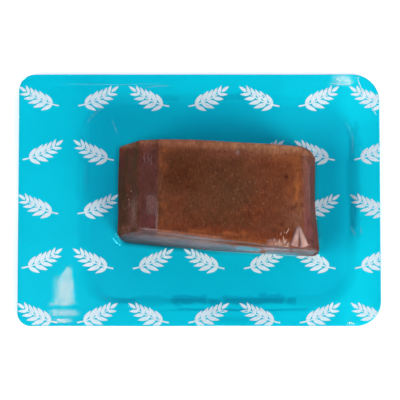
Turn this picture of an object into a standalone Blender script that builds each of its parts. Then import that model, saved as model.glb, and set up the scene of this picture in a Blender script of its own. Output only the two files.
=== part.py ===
"""Skin pack of mojama, the salt-cured and dried tuna loin.

A cut of the loin lies in the shallow pocket of a printed backing sheet. A clear film is drawn down
over both and sealed to the backing all round. The pack lies on its pocket floor, with X along its
length, Y towards its back edge and Z up. The origin is on the floor, under the middle of the pack.
Every outline is a ring of the same number of points, so that one ring is bridged to the next.
"""

import math

import bmesh
import bpy
from mathutils import Vector

MM = 0.001

# Backing sheet, as cut: size, and corner radii from the front left, counter-clockwise
PACK_LENGTH = 200.0 * MM
PACK_DEPTH = 142.0 * MM
PACK_RADII = (7.5 * MM, 14.0 * MM, 15.0 * MM, 9.0 * MM)
SHEET_THICK = 0.6 * MM
# The free flange is a little wavy: height, where the waves start, and their number and phase in X and Y
FLANGE_WAVE = 0.45 * MM
FLANGE_WAVE_START = 0.38
FLANGE_WAVES = (2.55, 1.65)
FLANGE_PHASES = (0.7, -0.4)

# Pocket pressed into the backing: it sits off centre, with a wide seal on the left
POCKET_LENGTH = 157.0 * MM
POCKET_DEPTH = 123.0 * MM
POCKET_CENTRE_X = 11.0 * MM
POCKET_RADII = (23.0 * MM, 27.0 * MM, 30.0 * MM, 26.0 * MM)
POCKET_DROP = 1.5 * MM
WALL_RUN = 9.0 * MM
# Profile of the pocket wall: share of its run, and share of its drop
WALL_PROFILE = ((0.2, 0.1), (0.5, 0.5), (0.8, 0.9), (1.0, 1.0))
# At a rib the wall starts further in and is steeper: start, run, and flank at each of its ends
RIB_INSET = 2.2 * MM
RIB_RUN = 4.6 * MM
RIB_FLANK = 2.0 * MM
# Where the ribs of each side start and end along it
RIBS = {
    "front": ((-52.6 * MM, -34.4 * MM), (-19.5 * MM, 10.9 * MM), (13.7 * MM, 52.3 * MM)),
    "right": ((-19.9 * MM, 2.1 * MM), (22.5 * MM, 44.5 * MM)),
    "back": ((-25.5 * MM, -10.6 * MM), (8.2 * MM, 38.0 * MM)),
    "left": ((4.2 * MM, 20.6 * MM),),
}

# The cut of loin: corners from the front left, counter-clockwise, at three heights above its base
BLOCK_HEIGHT = 27.0 * MM
SHOULDER_HEIGHT = 18.0 * MM
BASE_CORNERS = ((-45.0, -23.2), (66.2, -32.0), (63.9, 25.2), (-44.3, 30.6))
SHOULDER_CORNERS = ((-34.6, -21.2), (62.2, -32.2), (61.4, 24.2), (-34.6, 30.0))
TOP_CORNERS = ((-23.3, -23.0), (57.6, -33.2), (56.6, 24.4), (-21.8, 28.6))
BASE_RADII = (6.5 * MM, 4.0 * MM, 2.2 * MM, 1.8 * MM)
TOP_RADII = (1.6 * MM, 2.6 * MM, 2.2 * MM, 2.4 * MM)
# How far the middle of its front, right, back and left sides bows outwards, at the base and the top
BASE_BOWS = (1.2 * MM, -1.0 * MM, 0.8 * MM, 0.0)
TOP_BOWS = (0.0, -0.8 * MM, 1.0 * MM, 0.0)
SIDE_LEVELS = (6.0 * MM, 12.0 * MM, SHOULDER_HEIGHT, 21.5 * MM)
# Its top edge is rounded, and its top rises to a low crown along a middle line
EDGE_ROUND = 2.0 * MM
EDGE_ANGLES = (0, 30, 60, 90)
CROWN = 0.5 * MM
CROWN_LINE_X = (3.0 * MM, 34.0 * MM)
CROWN_LINE_Y = -1.5 * MM
CROWN_SHARES = (0.25, 0.6)
# Hand trimming leaves its sides uneven: depth, and two slow waves in radians for each millimetre
UNEVEN = 0.35 * MM
TRIM_WAVE_A = Vector((0.11, 0.0, 0.07))
TRIM_WAVE_B = Vector((0.05, 0.17, -0.09))
TRIM_PHASE_A = 0.5
TRIM_PHASE_B = 1.9

# Gaps that the touching pieces keep, and the film's thickness
BLOCK_GAP = 0.3 * MM
FILM_GAP = 0.3 * MM
FILM_CLEAR = 0.4 * MM
FILM_THICK = 0.3 * MM
# The film leaves the block above the pocket floor: distance out from the block, and height
FILM_TENT = ((4.0 * MM, 0.0), (2.2 * MM, 0.4 * MM), (1.0 * MM, 1.5 * MM), (0.4 * MM, 3.6 * MM))
# It stands higher where it is gathered at the block's corners, and along this share of each side
TENT_RISE = 1.6
TENT_REACH = 0.15

CORNER_STEPS = 6
SIDE_STEPS = (20, 10, 20, 10)
SHARP_ANGLE = math.radians(35)

FLOOR_TOP = SHEET_THICK
FLANGE_TOP = FLOOR_TOP + POCKET_DROP
BLOCK_BASE = FLOOR_TOP + BLOCK_GAP
RIM_HEIGHT = BLOCK_HEIGHT - EDGE_ROUND


def corner_turn(corners, i):
    """Half of a corner's inner angle, with its directions to both neighbours and to the inside."""
    to_previous = (corners[i - 1] - corners[i]).normalized()
    to_next = (corners[(i + 1) % 4] - corners[i]).normalized()
    return to_previous.angle(to_next) / 2, to_previous, (to_previous + to_next).normalized()


def rounded_quad(corners, radii, bows=(0, 0, 0, 0)):
    """Ring of points round a four-cornered outline with round corners and sides that may bow."""
    arcs = []
    for i, (corner, radius) in enumerate(zip(corners, radii)):
        half_angle, to_previous, inwards = corner_turn(corners, i)
        centre = corner + inwards * (radius / math.sin(half_angle))
        start = corner + to_previous * (radius / math.tan(half_angle)) - centre
        start_angle = math.atan2(start.y, start.x)
        step = (math.pi - 2 * half_angle) / CORNER_STEPS
        angles = [start_angle + step * k for k in range(CORNER_STEPS + 1)]
        arcs.append([centre + radius * Vector((math.cos(a), math.sin(a))) for a in angles])
    ring = []
    for i, arc in enumerate(arcs):
        following = arcs[(i + 1) % 4][0]
        along = (following - arc[-1]).normalized()
        outwards = Vector((along.y, -along.x))
        ring += arc
        for k in range(1, SIDE_STEPS[i]):
            share = k / SIDE_STEPS[i]
            bow = outwards * (bows[i] * 4 * share * (1 - share))
            ring.append(arc[-1].lerp(following, share) + bow)
    return ring


def grown(corners, distance):
    """The outline's corners, with every side moved outwards by a distance."""
    moved = []
    for i, corner in enumerate(corners):
        half_angle, _, inwards = corner_turn(corners, i)
        moved.append(corner - inwards * (distance / math.sin(half_angle)))
    return moved


def rectangle(length, depth, centre_x=0.0):
    """Corners of a rectangle from the front left, counter-clockwise."""
    signs = ((-1, -1), (1, -1), (1, 1), (-1, 1))
    return [Vector((centre_x + sx * length / 2, sy * depth / 2)) for sx, sy in signs]


def mix(ring_a, ring_b, weights):
    """Ring between two others, by one weight or by one for each point."""
    if not isinstance(weights, list):
        weights = [weights] * len(ring_a)
    return [a.lerp(b, weight) for a, b, weight in zip(ring_a, ring_b, weights)]


def smooth_step(low, high, value):
    share = min(max((value - low) / (high - low), 0.0), 1.0)
    return share * share * (3 - 2 * share)


def lifted(ring, height):
    return [Vector((p.x, p.y, height)) for p in ring]


def flange_height(point):
    """Rise of the flange at a point, which grows towards its edge."""
    x, y = point.x / PACK_LENGTH, point.y / PACK_DEPTH
    edge = smooth_step(FLANGE_WAVE_START, 0.5, max(abs(x), abs(y)))
    wave_x = math.sin(2 * math.pi * FLANGE_WAVES[0] * x + FLANGE_PHASES[0])
    wave_y = math.cos(2 * math.pi * FLANGE_WAVES[1] * y + FLANGE_PHASES[1])
    return FLANGE_WAVE * edge * wave_x * wave_y


def pocket_ring(inset):
    corners = grown(rectangle(POCKET_LENGTH, POCKET_DEPTH, POCKET_CENTRE_X), -inset)
    return rounded_quad(corners, [radius - inset for radius in POCKET_RADII])


def rib_weight(point):
    """How far into a rib a point of the pocket wall lies, from 0 to 1."""
    x, y = point.x - POCKET_CENTRE_X, point.y
    if abs(y) / POCKET_DEPTH > abs(x) / POCKET_LENGTH:
        side, travel = "back" if y > 0 else "front", point.x
    else:
        side, travel = "right" if x > 0 else "left", point.y
    weight = 0.0
    for start, end in RIBS[side]:
        rise = smooth_step(start - RIB_FLANK, start + RIB_FLANK, travel)
        fall = smooth_step(end - RIB_FLANK, end + RIB_FLANK, travel)
        weight = max(weight, rise - fall)
    return weight


def dish_rings(lift):
    """Rings of the pressed sheet's upper side, from its edge to the pocket floor, raised by a lift."""
    edge = rounded_quad(rectangle(PACK_LENGTH, PACK_DEPTH), PACK_RADII)
    crest = pocket_ring(0)
    rings = [
        [Vector((p.x, p.y, FLANGE_TOP + lift + flange_height(p))) for p in ring]
        for ring in (edge, mix(edge, crest, 0.5), crest)
    ]
    ribs = [rib_weight(p) for p in crest]
    for run, drop in WALL_PROFILE:
        wall = mix(pocket_ring(run * WALL_RUN), pocket_ring(RIB_INSET + run * RIB_RUN), ribs)
        rings.append(lifted(wall, FLANGE_TOP - drop * POCKET_DROP + lift))
    return rings


def block_corners(height):
    """The block's four corners at a height above its base."""
    base, shoulder, top = (
        [Vector(corner) * MM for corner in corners]
        for corners in (BASE_CORNERS, SHOULDER_CORNERS, TOP_CORNERS)
    )
    if height < SHOULDER_HEIGHT:
        return mix(base, shoulder, height / SHOULDER_HEIGHT)
    return mix(shoulder, top, (height - SHOULDER_HEIGHT) / (BLOCK_HEIGHT - SHOULDER_HEIGHT))


def unevenness(point, height):
    """How far hand trimming moves a point of the block's side outwards."""
    place = Vector((point.x, point.y, height)) / MM
    wave_a = math.sin(TRIM_WAVE_A.dot(place) + TRIM_PHASE_A)
    wave_b = math.sin(TRIM_WAVE_B.dot(place) + TRIM_PHASE_B)
    return UNEVEN * (wave_a + wave_b) / 2


def block_ring(height, outwards):
    """Ring round the block at a height above its base, moved outwards by a distance."""
    share = smooth_step(SHOULDER_HEIGHT, BLOCK_HEIGHT, height)
    radii = [a + (b - a) * share + max(outwards, 0) for a, b in zip(BASE_RADII, TOP_RADII)]
    bows = [a + (b - a) * height / BLOCK_HEIGHT for a, b in zip(BASE_BOWS, TOP_BOWS)]
    ring = rounded_quad(grown(block_corners(height), outwards), radii, bows)
    middle = sum(ring, Vector((0, 0))) / len(ring)
    return [p + (p - middle).normalized() * unevenness(p, height) for p in ring]


def crown_ring(rim, share):
    """Ring of the block's top, a share of the way from its rim to the middle line."""
    ring = []
    height = BLOCK_BASE + BLOCK_HEIGHT + CROWN * (1 - (1 - share) ** 2)
    for p in rim:
        middle_x = min(max(p.x, CROWN_LINE_X[0]), CROWN_LINE_X[1])
        x = p.x + (middle_x - p.x) * share
        y = p.y + (CROWN_LINE_Y - p.y) * share
        ring.append(Vector((x, y, height)))
    return ring


def block_rings(levels, outwards):
    """Rings of the block's sides at some levels, and on over its rounded edge to its crown."""
    rings = [lifted(block_ring(level, outwards), BLOCK_BASE + level) for level in levels]
    for angle in EDGE_ANGLES:
        inset = EDGE_ROUND * (1 - math.cos(math.radians(angle)))
        height = RIM_HEIGHT + EDGE_ROUND * math.sin(math.radians(angle))
        rings.append(lifted(block_ring(height, outwards - inset), BLOCK_BASE + height))
    return rings + [crown_ring(rings[-1], share) for share in CROWN_SHARES]


def corner_weights():
    """1 at each corner of a ring, falling to 0 along its sides."""
    weights = []
    for steps in SIDE_STEPS:
        shares = [min(k, steps - k) / steps for k in range(1, steps)]
        weights += [1.0] * (CORNER_STEPS + 1)
        weights += [1 - smooth_step(0, TENT_REACH, share) for share in shares]
    return weights


def film_rings():
    """Rings of the film's inner side: over the backing, up the tent at the block's foot and over it."""
    rings = dish_rings(FILM_GAP)
    floor = FLOOR_TOP + FILM_GAP
    tent_edge = lifted(block_ring(0, FILM_TENT[0][0] + FILM_CLEAR), floor)
    rings.append(mix(rings[-1], tent_edge, 0.5))
    for out, rise in FILM_TENT:
        ring = block_ring(rise, out + FILM_CLEAR)
        heights = [floor + rise * (1 + (TENT_RISE - 1) * weight) for weight in corner_weights()]
        rings.append([Vector((p.x, p.y, height)) for p, height in zip(ring, heights)])
    for ring in block_rings(SIDE_LEVELS[1:], FILM_CLEAR):
        rings.append([p + Vector((0, 0, FILM_GAP)) for p in ring])
    return rings


def skin(rings, capped_below=False):
    """Mesh of the faces from each ring to the next, with the last one capped, and maybe the first."""
    bm = bmesh.new()
    loops = [[bm.verts.new(p) for p in ring] for ring in rings]
    for outer, inner in zip(loops, loops[1:]):
        for i in range(len(outer)):
            bm.faces.new((outer[i - 1], outer[i], inner[i], inner[i - 1]))
    bm.faces.new(loops[-1])
    if capped_below:
        bm.faces.new(list(reversed(loops[0])))
    return bm


def material(name, colour, roughness, alpha=1.0):
    made = bpy.data.materials.new(name)
    made.use_nodes = True
    shader = made.node_tree.nodes["Principled BSDF"]
    shader.inputs["Base Color"].default_value = (*colour, 1.0)
    shader.inputs["Roughness"].default_value = roughness
    shader.inputs["Metallic"].default_value = 0.0
    shader.inputs["Alpha"].default_value = alpha
    return made


def piece(name, bm, finish, parent):
    mesh = bpy.data.meshes.new(name)
    bm.to_mesh(mesh)
    bm.free()
    mesh.materials.append(finish)
    mesh.shade_smooth()
    mesh.set_sharp_from_angle(angle=SHARP_ANGLE)
    made = bpy.data.objects.new(name, mesh)
    bpy.context.scene.collection.objects.link(made)
    made.parent = parent
    return made


def make_backing(parent):
    """The sheet: out along its underside from the pocket floor, and back in along its upper side."""
    finish = material("turquoise_print", (0.005, 0.46, 0.60), 0.35)
    upper = dish_rings(0)
    lower = [[p - Vector((0, 0, SHEET_THICK)) for p in ring] for ring in reversed(upper)]
    piece("printed_backing", skin(lower + upper, capped_below=True), finish, parent)


def make_block(parent):
    finish = material("cured_tuna", (0.13, 0.045, 0.022), 0.45)
    rings = block_rings((0, *SIDE_LEVELS), 0)
    piece("mojama_block", skin(rings, capped_below=True), finish, parent)


def make_film(parent):
    finish = material("clear_film", (0.9, 0.95, 0.97), 0.08, alpha=0.2)
    film = piece("clear_film", skin(film_rings()), finish, parent)
    thickness = film.modifiers.new("Thickness", "SOLIDIFY")
    thickness.thickness = FILM_THICK
    thickness.offset = 1
    thickness.use_even_offset = True


def main():
    for old in list(bpy.data.objects):
        bpy.data.objects.remove(old)
    pack = bpy.data.objects.new("skin_pack", None)
    bpy.context.scene.collection.objects.link(pack)
    make_backing(pack)
    make_block(pack)
    make_film(pack)


main()
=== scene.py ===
"""Looks of a skin pack of mojama: a printed backing, a block of dried tuna loin, a clear film.

Lengths are in metres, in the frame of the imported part: X along the pack, Y to its back edge, Z up.
Every outline is a ring of the same number of points, as in the part, only with many more of them.
Details that the photograph shows are placed by its pixels, on the surface that they lie on.
Columns, rows, boxes, paths and the ends of bands are all given in those pixels.
"""

import math
import random

import bmesh
import bpy
import numpy as np
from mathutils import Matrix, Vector, noise
from mathutils.bvhtree import BVHTree


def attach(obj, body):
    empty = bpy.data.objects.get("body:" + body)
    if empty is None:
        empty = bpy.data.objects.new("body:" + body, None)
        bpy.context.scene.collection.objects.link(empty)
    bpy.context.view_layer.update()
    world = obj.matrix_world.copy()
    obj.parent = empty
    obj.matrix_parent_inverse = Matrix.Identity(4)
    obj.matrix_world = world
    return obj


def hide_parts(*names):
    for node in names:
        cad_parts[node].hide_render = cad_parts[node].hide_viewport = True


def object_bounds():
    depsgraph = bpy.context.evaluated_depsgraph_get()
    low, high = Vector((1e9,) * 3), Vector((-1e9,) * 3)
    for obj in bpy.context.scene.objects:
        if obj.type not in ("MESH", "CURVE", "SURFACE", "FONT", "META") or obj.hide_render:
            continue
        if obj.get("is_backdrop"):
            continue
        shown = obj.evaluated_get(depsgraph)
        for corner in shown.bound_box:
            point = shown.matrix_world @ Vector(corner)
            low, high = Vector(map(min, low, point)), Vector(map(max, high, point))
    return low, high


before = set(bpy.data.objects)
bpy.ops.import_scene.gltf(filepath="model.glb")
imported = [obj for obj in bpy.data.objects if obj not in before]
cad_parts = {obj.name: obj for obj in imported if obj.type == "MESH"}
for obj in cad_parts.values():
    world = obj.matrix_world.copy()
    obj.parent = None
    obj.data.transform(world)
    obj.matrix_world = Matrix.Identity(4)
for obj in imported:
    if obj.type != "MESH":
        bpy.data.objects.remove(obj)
CAD_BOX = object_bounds()

MM = 0.001

# The part's own sizes, as its source gives them
PACK_SIZE = np.array((200, 142)) * MM
PACK_RADII = np.array((7.5, 14, 15, 9)) * MM
SHEET_THICK = 0.6 * MM
FLANGE_WAVE = 0.45 * MM
FLANGE_WAVE_START = 0.38
FLANGE_WAVES = (2.55, 1.65)
FLANGE_PHASES = (0.7, -0.4)
POCKET_SIZE = np.array((157, 123)) * MM
POCKET_CENTRE = (11 * MM, 0)
POCKET_RADII = np.array((23, 27, 30, 26)) * MM
POCKET_DROP = 1.5 * MM
WALL_RUN = 9 * MM
RIB_INSET = 2.2 * MM
RIB_RUN = 4.6 * MM
RIB_FLANK = 2 * MM
RIBS = {
    "front": ((-52.6, -34.4), (-19.5, 10.9), (13.7, 52.3)),
    "right": ((-19.9, 2.1), (22.5, 44.5)),
    "back": ((-25.5, -10.6), (8.2, 38)),
    "left": ((4.2, 20.6),),
}
BLOCK_HEIGHT = 27 * MM
SHOULDER_HEIGHT = 18 * MM
BASE_CORNERS = np.array(((-45, -23.2), (66.2, -32), (63.9, 25.2), (-44.3, 30.6))) * MM
SHOULDER_CORNERS = np.array(((-34.6, -21.2), (62.2, -32.2), (61.4, 24.2), (-34.6, 30))) * MM
TOP_CORNERS = np.array(((-23.3, -23), (57.6, -33.2), (56.6, 24.4), (-21.8, 28.6))) * MM
BASE_RADII = np.array((6.5, 4, 2.2, 1.8)) * MM
TOP_RADII = np.array((1.6, 2.6, 2.2, 2.4)) * MM
BASE_BOWS = np.array((1.2, -1, 0.8, 0)) * MM
TOP_BOWS = np.array((0, -0.8, 1, 0)) * MM
EDGE_ROUND = 2 * MM
CROWN = 0.5 * MM
CROWN_LINE_X = (3 * MM, 34 * MM)
CROWN_LINE_Y = -1.5 * MM
UNEVEN = 0.35 * MM
TRIM_WAVES = np.array(((0.11, 0, 0.07), (0.05, 0.17, -0.09))) / MM
TRIM_PHASES = (0.5, 1.9)
FLOOR_TOP = SHEET_THICK
FLANGE_TOP = FLOOR_TOP + POCKET_DROP
BLOCK_BASE = FLOOR_TOP + 0.3 * MM
RIM_HEIGHT = BLOCK_HEIGHT - EDGE_ROUND

# The visual film is thin, and lies close to what it covers
FILM_THICK = 0.1 * MM
FILM_GAP = 0.22 * MM
FILM_CLEAR = 0.25 * MM
INK_LIFT = 0.08 * MM
INK_THICK = 0.04 * MM

# Points of every ring, and how far they crowd towards the corners, from 0 to 1
CORNER_STEPS = 16
SIDE_STEPS = (96, 52, 96, 52)
AROUND = 4 * CORNER_STEPS + sum(SIDE_STEPS)
CROWDING = 0.5

# The photograph: its pixels, and its view from the front at a steep angle
FRAME_PIXELS = 400
PIXEL = 0.5525 * MM
VIEW_ELEVATION = math.radians(78)
VIEW_DISTANCE = 2.5
SENSOR = 36
# The image's middle, from the pack's, in pixels to the right and down
AIM_RIGHT = 0.75
AIM_DOWN = 0.5


def smooth_step(low, high, value):
    share = np.clip((value - low) / (high - low), 0.0, 1.0)
    return share * share * (3 - 2 * share)


def bell(value, middle, reach):
    """Smooth bump of height 1 about a middle."""
    return np.exp(-(((value - middle) / reach) ** 2))


def span_weight(travel, span, flank):
    """1 inside a span, and 0 outside it, with smooth flanks."""
    start, end = span
    rise = smooth_step(start - flank, start + flank, travel)
    return rise - smooth_step(end - flank, end + flank, travel)


def spot(u, v, x, y, reach_x, reach_y):
    """Smooth round bump in pixels."""
    return bell(u, x, reach_x) * bell(v, y, reach_y)


def wedge(u, v, x0, y0, x1, y1, half_start, half_end, soft):
    """Soft band in pixels from one point to another, which may widen on its way."""
    dx, dy = x1 - x0, y1 - y0
    length = math.hypot(dx, dy)
    share = ((u - x0) * dx + (v - y0) * dy) / length ** 2
    off = np.abs((u - x0) * dy - (v - y0) * dx) / length
    half = half_start + (half_end - half_start) * np.clip(share, 0, 1)
    ends = smooth_step(-soft, soft, share * length) * smooth_step(-soft, soft, (1 - share) * length)
    return ends * smooth_step(half + soft, half - soft, off)


# The photograph's view

VIEW_BACK = np.array((0, -math.cos(VIEW_ELEVATION), math.sin(VIEW_ELEVATION)))
VIEW_UP = np.array((0, math.sin(VIEW_ELEVATION), math.cos(VIEW_ELEVATION)))
VIEW_TARGET = np.array((0, 0, FLANGE_TOP)) + PIXEL * (
    np.array((AIM_RIGHT, 0, 0)) - VIEW_UP * AIM_DOWN
)
VIEW_PLACE = VIEW_TARGET + VIEW_BACK * VIEW_DISTANCE


def pixel_ray(px, py):
    """Direction from the camera through a pixel."""
    middle = FRAME_PIXELS / 2
    seen = VIEW_TARGET + PIXEL * (np.array((px - middle, 0, 0)) + VIEW_UP * (middle - py))
    return unit(seen - VIEW_PLACE)


def to_pixel(points):
    """Columns and rows at which points are seen."""
    away = points - VIEW_TARGET
    shrink = VIEW_DISTANCE / (VIEW_DISTANCE - away @ VIEW_BACK)
    middle = FRAME_PIXELS / 2
    return middle + away[:, 0] / PIXEL * shrink, middle - away @ VIEW_UP / PIXEL * shrink


# Outlines


def unit(vector):
    return vector / np.linalg.norm(vector)


def heading(angles):
    """Flat unit vector at each angle."""
    return np.stack((np.cos(angles), np.sin(angles)), axis=-1)


def corner_turn(corners, i):
    """Half of a corner's inner angle, with its directions to the previous one and to the inside."""
    to_previous = unit(corners[i - 1] - corners[i])
    to_next = unit(corners[(i + 1) % 4] - corners[i])
    half_angle = math.acos(float(np.dot(to_previous, to_next))) / 2
    return half_angle, to_previous, unit(to_previous + to_next)


def rounded_quad(corners, radii, bows=(0, 0, 0, 0)):
    """Ring of X and Y round a four-cornered outline, whose sides may bow out."""
    arcs = []
    for i, (corner, radius) in enumerate(zip(corners, radii)):
        half_angle, to_previous, inwards = corner_turn(corners, i)
        centre = corner + inwards * (radius / math.sin(half_angle))
        start = corner + to_previous * (radius / math.tan(half_angle)) - centre
        sweep = math.pi - 2 * half_angle
        angles = math.atan2(start[1], start[0]) + sweep * np.linspace(0, 1, CORNER_STEPS + 1)
        arcs.append(centre + radius * heading(angles))
    parts = []
    for i, steps in enumerate(SIDE_STEPS):
        even = np.arange(1, steps) / steps
        eased = 0.5 - 0.5 * np.cos(math.pi * even)
        shares = (even + (eased - even) * CROWDING)[:, None]
        start, end = arcs[i][-1], arcs[(i + 1) % 4][0]
        along = unit(end - start)
        bow = np.array((along[1], -along[0])) * (bows[i] * 4 * shares * (1 - shares))
        parts += [arcs[i], start * (1 - shares) + end * shares + bow]
    return np.concatenate(parts)


def grown(corners, distance):
    """The outline's corners, with every side moved outwards by a distance."""
    moved = []
    for i in range(4):
        half_angle, _, inwards = corner_turn(corners, i)
        moved.append(corners[i] - inwards * (distance / math.sin(half_angle)))
    return np.array(moved)


def rectangle(size, centre=(0.0, 0.0)):
    return np.array(((-1, -1), (1, -1), (1, 1), (-1, 1))) * size / 2 + centre


def inset_ring(corners, radii, inset):
    """Ring inside a rounded outline, at a distance from it."""
    return rounded_quad(grown(corners, -inset), radii - inset)


def lifted(ring, heights):
    """Points of a flat ring, at one height or at one for each."""
    return np.column_stack((ring, np.broadcast_to(heights, len(ring))))


# Surface of the backing


def pocket_depth_in(xy):
    """How far inside the pocket's outline a point lies, and below 0 outside it."""
    p = xy - POCKET_CENTRE
    right, back = (p > 0).T
    radius = POCKET_RADII[np.where(back, 3 - right, right)]
    q = np.abs(p) - POCKET_SIZE / 2 + radius[:, None]
    outside = np.linalg.norm(np.maximum(q, 0), axis=1)
    return radius - outside - np.minimum(np.max(q, axis=1), 0)


def rib_weight(xy):
    """How far into a rib a point of the pocket wall lies, from 0 to 1."""
    x, y = ((xy - POCKET_CENTRE) / POCKET_SIZE).T
    along_x = np.abs(y) > np.abs(x)
    sides = {
        "front": (along_x & (y <= 0), xy[:, 0]), "back": (along_x & (y > 0), xy[:, 0]),
        "right": (~along_x & (x > 0), xy[:, 1]), "left": (~along_x & (x <= 0), xy[:, 1]),
    }
    weight = np.zeros(len(xy))
    for side, (chosen, travel) in sides.items():
        for span in np.array(RIBS[side]) * MM:
            weight = np.maximum(weight, chosen * span_weight(travel, span, RIB_FLANK))
    return weight


def flange_height(xy):
    """Rise of the flange, which grows towards its edge."""
    place = xy / PACK_SIZE
    edge = smooth_step(FLANGE_WAVE_START, 0.5, np.abs(place).max(axis=1))
    x, y = (2 * math.pi * place * FLANGE_WAVES + FLANGE_PHASES).T
    return FLANGE_WAVE * edge * np.sin(x) * np.cos(y)


# The front edge curls up a little along one stretch, and a seal line steps down inside it
CURL_RISE = 0.55 * MM
CURL_SPAN = (5 * MM, 41 * MM)
SEAL_LINE_Y = -62.3 * MM
SEAL_STEP = 0.28 * MM
SEAL_SPAN = (-20 * MM, 58 * MM)


def flange_relief(xy):
    """Small forms of the flange that only show close up."""
    x, y = xy[:, 0], xy[:, 1]
    curl = smooth_step(-64.5 * MM, -71.5 * MM, y) * span_weight(x, CURL_SPAN, 5 * MM)
    step = smooth_step(SEAL_LINE_Y - 0.6 * MM, SEAL_LINE_Y + 0.7 * MM, y) * (y < -30 * MM)
    along = 0.12 + 0.88 * span_weight(x, SEAL_SPAN, 6 * MM)
    return CURL_RISE * curl - SEAL_STEP * step * along


def wall_share(xy):
    """How far down the pocket wall a point lies: 0 on the flange and 1 on the pocket floor."""
    rib = rib_weight(xy)
    start = RIB_INSET * rib
    run = WALL_RUN + (RIB_RUN - WALL_RUN) * rib
    return smooth_step(0.0, 1.0, (pocket_depth_in(xy) - start) / run)


def backing_height(xy):
    """Height of the backing's upper side at points in X and Y."""
    down = wall_share(xy)
    rise = flange_height(xy) + flange_relief(xy)
    return FLANGE_TOP - POCKET_DROP * down + rise * (1 - down)


# Surface of the block


def block_corners(height):
    if height < SHOULDER_HEIGHT:
        share = height / SHOULDER_HEIGHT
        return BASE_CORNERS * (1 - share) + SHOULDER_CORNERS * share
    share = (height - SHOULDER_HEIGHT) / (BLOCK_HEIGHT - SHOULDER_HEIGHT)
    return SHOULDER_CORNERS * (1 - share) + TOP_CORNERS * share


def block_ring(height, outwards):
    """Ring round the block at a height above its base, moved outwards by a distance."""
    share = float(smooth_step(SHOULDER_HEIGHT, BLOCK_HEIGHT, height))
    radii = BASE_RADII * (1 - share) + TOP_RADII * share + max(outwards, 0)
    bows = BASE_BOWS + (TOP_BOWS - BASE_BOWS) * height / BLOCK_HEIGHT
    ring = rounded_quad(grown(block_corners(height), outwards), radii, bows)
    waves = np.sin(lifted(ring, height) @ TRIM_WAVES.T + TRIM_PHASES).mean(axis=1)
    away = ring - ring.mean(axis=0)
    return ring + away * (UNEVEN * waves / np.linalg.norm(away, axis=1))[:, None]


def block_rings(levels, outwards, edge_steps, crown_steps):
    """Rings of the block's sides at some levels, and on over its rounded edge to its crown."""
    rings = [lifted(block_ring(level, outwards), BLOCK_BASE + level) for level in levels]
    for angle in np.linspace(0, math.pi / 2, edge_steps + 1):
        inset = EDGE_ROUND * (1 - math.cos(angle))
        height = RIM_HEIGHT + EDGE_ROUND * math.sin(angle)
        rings.append(lifted(block_ring(height, outwards - inset), BLOCK_BASE + height))
    rim = rings[-1][:, :2]
    middle = np.column_stack((np.clip(rim[:, 0], *CROWN_LINE_X), np.full(len(rim), CROWN_LINE_Y)))
    for share in np.linspace(0, 0.985, crown_steps + 1)[1:]:
        height = BLOCK_BASE + BLOCK_HEIGHT + CROWN * (1 - (1 - share) ** 2)
        rings.append(lifted(rim + (middle - rim) * share, height))
    return rings


# Meshes


def linked(name, data):
    made = bpy.data.objects.new(name, data)
    bpy.context.scene.collection.objects.link(made)
    return made


def mesh_object(name, points, faces, smooth=True):
    mesh = bpy.data.meshes.new(name)
    mesh.from_pydata(points.tolist(), [], faces)
    mesh.update()
    if smooth:
        mesh.shade_smooth()
    return linked(name, mesh)


def object_from(bm, name, smooth=True):
    """Object of a bmesh, which is used up."""
    mesh = bpy.data.meshes.new(name)
    bm.to_mesh(mesh)
    bm.free()
    if smooth:
        mesh.shade_smooth()
    return linked(name, mesh)


def quads(loops, closed=True):
    """Quads between each loop of points and the next."""
    for one, two in zip(loops, loops[1:]):
        count = len(one)
        for i in range(count if closed else count - 1):
            j = (i + 1) % count
            yield one[i], one[j], two[j], two[i]


def add_faces(bm, *faces):
    for face in faces:
        bm.faces.new(face)


def ring_skin(name, points, capped_below=False):
    """Skin over the points of rings that run inwards and up, with the last ring capped."""
    loops = np.arange(len(points)).reshape(-1, AROUND).tolist()
    below = [loops[0][::-1]] if capped_below else []
    return mesh_object(name, points, [*quads(loops), loops[-1], *below])


def thicken(sheet, thickness, side):
    """Gives a sheet its thickness: side is -1 for below its surface and 1 for above it."""
    modifier = sheet.modifiers.new("Thickness", "SOLIDIFY")
    modifier.thickness = thickness
    modifier.offset = side
    modifier.use_even_offset = True


def attribute(piece, name, values):
    """Stores a number, or a colour, for each point of a piece, for its material to read."""
    values = np.asarray(values, np.float32)
    kind, field = "FLOAT", "value"
    if values.ndim == 2:
        kind, field = "FLOAT_COLOR", "color"
        values = np.column_stack((values, np.ones(len(values))))
    made = piece.data.attributes.new(name, kind, "POINT")
    made.data.foreach_set(field, values.ravel())


def fractal(points, scale, octaves, seed):
    """Fractal noise about 0 at points, with features of a size."""
    shift = Vector((seed, seed * 1.7, -seed))
    return np.array([noise.fractal(Vector(p) / scale + shift, 1.0, 2.0, octaves) for p in points])


def between(a, b, steps):
    """Rings between two rings, in even steps."""
    return [a * (1 - share) + b * share for share in np.linspace(0, 1, steps + 1)[1:-1]]


def dish_rings(flange_steps, wall_steps):
    """Flat rings of the formed sheet, from its edge to the end of the pocket's wall."""
    edge = rounded_quad(rectangle(PACK_SIZE), PACK_RADII)
    pocket = rectangle(POCKET_SIZE, POCKET_CENTRE)
    insets = np.linspace(0, WALL_RUN + 0.5 * MM, wall_steps + 1)
    crest, *wall = (inset_ring(pocket, POCKET_RADII, inset) for inset in insets)
    return [edge, *between(edge, crest, flange_steps), crest, *wall]


# Nodes


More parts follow.
